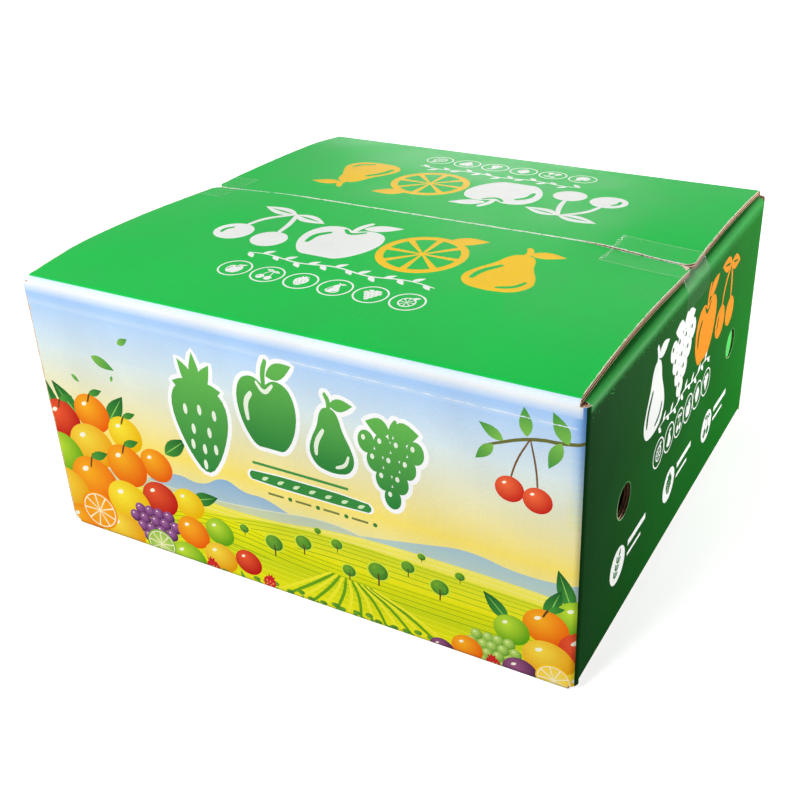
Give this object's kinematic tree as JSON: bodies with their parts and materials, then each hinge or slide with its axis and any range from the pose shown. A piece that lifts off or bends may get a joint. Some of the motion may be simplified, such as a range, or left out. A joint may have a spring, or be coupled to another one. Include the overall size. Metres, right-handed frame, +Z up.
{
  "type": "fruit carton with dividers",
  "caption": "Closed, taped and printed double-wall fruit carton with vent holes and interlocking slotted dividers inside.",
  "frame": {"origin": "middle of the underside, where the bottom tape meets the floor", "axes": "+X along the picture panel to the right end wall, +Y from the picture panel to the back, +Z up"},
  "size_m": [0.4002, 0.38, 0.2061],
  "materials": {
    "printed_board": "satin",
    "clear_tape": "gloss",
    "divider_board": "matte"
  },
  "bodies": {
    "root": {"carton": "printed_board", "top_tape_right": "clear_tape", "top_tape_left": "clear_tape", "bottom_tape": "clear_tape", "long_divider_front": "divider_board", "long_divider_middle": "divider_board", "long_divider_rear": "divider_board", "cross_divider_left": "divider_board", "cross_divider_middle": "divider_board", "cross_divider_right": "divider_board"}
  },
  "joints": []
}
